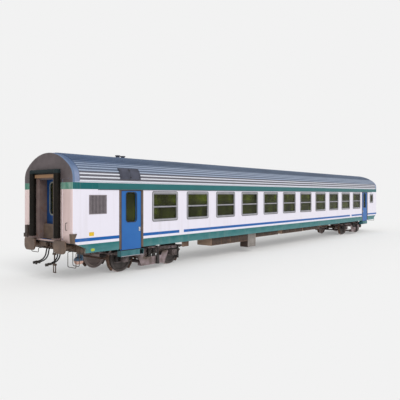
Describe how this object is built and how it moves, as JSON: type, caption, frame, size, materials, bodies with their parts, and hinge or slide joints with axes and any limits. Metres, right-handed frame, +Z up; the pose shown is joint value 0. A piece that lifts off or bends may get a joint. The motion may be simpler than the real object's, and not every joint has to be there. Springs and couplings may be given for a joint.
{
  "type": "passenger coach",
  "caption": "Second-class railway passenger coach with a row of large side windows, entrance doors near both ends, rubber gangways and two four-wheel bogies.",
  "frame": {"origin": "under the middle of the coach, level with the lowest points of the wheel flanges, 28 mm below the rail tops", "axes": "+X along the coach towards its rear end, +Y to its left side, +Z up; the front end is at -X"},
  "size_m": [26.6154, 2.9008, 4.1736],
  "materials": {
    "body_paint": "satin two-pack paint, light grey white with bands",
    "end_paint": "dusty satin paint",
    "roof_paint": "weathered blue grey paint",
    "dark_grey_paint": "matt dark grey paint",
    "floor_covering": "ribbed floor covering",
    "lining_laminate": "decorative laminate",
    "seat_vinyl": "blue vinyl",
    "grey_steel": "grey paint, dusty",
    "window_aluminium": "dull anodised aluminium",
    "tinted_glass": "tinted safety glass",
    "door_paint": "blue satin paint",
    "brown_steel": "brown paint under brake dust",
    "black_rubber": "matt rubber, dusty",
    "skirt_paint": "green paint, dusty",
    "underframe_steel": "dark paint under brake dust",
    "buffer_steel": "brown grease and dust",
    "cast_iron": "rusty cast iron",
    "hose_rubber": "fabric-braided rubber",
    "wheel_steel": "forged steel, dusty, worn bright on the tread",
    "bogie_steel": "brown paint under pinkish brake dust",
    "spring_steel": "black paint, dusty",
    "axle_box_iron": "painted cast iron, dusty"
  },
  "bodies": {
    "coach_body": {"air_hose_1_front": "hose_rubber", "air_hose_1_rear": "hose_rubber", "air_hose_2_front": "hose_rubber", "air_hose_2_rear": "hose_rubber", "air_hose_3_front": "hose_rubber", "air_hose_3_rear": "hose_rubber", "air_hose_4_front": "hose_rubber", "air_hose_4_rear": "hose_rubber", "air_reservoirs": "brown_steel", "bench_stands": "grey_steel", "benches": "seat_vinyl", "buffers": "buffer_steel", "ceiling": "lining_laminate", "converter_box": "grey_steel", "corner_steps_and_socket_boxes": "brown_steel", "draw_gear": "underframe_steel", "end_wall_front": "end_paint", "end_wall_rear": "end_paint", "entrance_door_frames": "brown_steel", "entrance_door_glass": "tinted_glass", "entrance_doors": "door_paint", "entrance_steps": "skirt_paint", "floor": "floor_covering", "gangway_bellows": "black_rubber", "gangway_portals": "brown_steel", "hose_heads": "cast_iron", "interior_walls": "lining_laminate", "roof": "roof_paint", "roof_hatches": "dark_grey_paint", "roof_vents": "dark_grey_paint", "side_wall_left": "body_paint", "side_wall_right": "body_paint", "tail_lamp_brackets": "brown_steel", "underfloor_boxes": "brown_steel", "underframe": "underframe_steel", "vent_grilles": "dark_grey_paint", "window_frames": "window_aluminium", "window_glass": "tinted_glass"},
    "bogie_1": {"axle_boxes_1": "axle_box_iron", "bogie_bolster_1": "bogie_steel", "bogie_frame_1": "bogie_steel", "bogie_spring_pans_1": "bogie_steel", "bogie_springs_and_dampers_1": "spring_steel", "brake_rigging_1": "cast_iron"},
    "bogie_2": {"axle_boxes_2": "axle_box_iron", "bogie_bolster_2": "bogie_steel", "bogie_frame_2": "bogie_steel", "bogie_spring_pans_2": "bogie_steel", "bogie_springs_and_dampers_2": "spring_steel", "brake_rigging_2": "cast_iron"},
    "wheelset_1": {"wheelset_1": "wheel_steel"},
    "wheelset_2": {"wheelset_2": "wheel_steel"},
    "wheelset_3": {"wheelset_3": "wheel_steel"},
    "wheelset_4": {"wheelset_4": "wheel_steel"},
    "gangway_door_front": {"gangway_door_front": "door_paint", "gangway_door_glass_front": "tinted_glass"},
    "gangway_door_rear": {"gangway_door_rear": "door_paint", "gangway_door_glass_rear": "tinted_glass"},
    "fall_plate_front": {"fall_plate_front": "brown_steel"},
    "fall_plate_rear": {"fall_plate_rear": "brown_steel"}
  },
  "joints": [
    {"name": "bogie_1_yaw", "type": "hinge", "parent": "coach_body", "child": "bogie_1", "pos_m": [-9.5, 0, 0.88], "axis": [0, 0, 1], "range_deg": [-5, 5]},
    {"name": "bogie_2_yaw", "type": "hinge", "parent": "coach_body", "child": "bogie_2", "pos_m": [9.5, 0, 0.88], "axis": [0, 0, 1], "range_deg": [-5, 5]},
    {"name": "wheelset_1_roll", "type": "hinge", "parent": "bogie_1", "child": "wheelset_1", "pos_m": [-10.7, 0, 0.488], "axis": [0, 1, 0], "continuous": true},
    {"name": "wheelset_2_roll", "type": "hinge", "parent": "bogie_1", "child": "wheelset_2", "pos_m": [-8.3, 0, 0.488], "axis": [0, 1, 0], "continuous": true},
    {"name": "wheelset_3_roll", "type": "hinge", "parent": "bogie_2", "child": "wheelset_3", "pos_m": [8.3, 0, 0.488], "axis": [0, 1, 0], "continuous": true},
    {"name": "wheelset_4_roll", "type": "hinge", "parent": "bogie_2", "child": "wheelset_4", "pos_m": [10.7, 0, 0.488], "axis": [0, 1, 0], "continuous": true},
    {"name": "gangway_door_front_slide", "type": "slide", "parent": "coach_body", "child": "gangway_door_front", "axis": [0, 1, 0], "range_m": [0, 0.81]},
    {"name": "gangway_door_rear_slide", "type": "slide", "parent": "coach_body", "child": "gangway_door_rear", "axis": [0, -1, 0], "range_m": [0, 0.81]},
    {"name": "fall_plate_front_lower", "type": "hinge", "parent": "coach_body", "child": "fall_plate_front", "pos_m": [-12.93, 0, 1.302], "axis": [0, -1, 0], "range_deg": [0, 90]},
    {"name": "fall_plate_rear_lower", "type": "hinge", "parent": "coach_body", "child": "fall_plate_rear", "pos_m": [12.93, 0, 1.302], "axis": [0, 1, 0], "range_deg": [0, 90]}
  ]
}
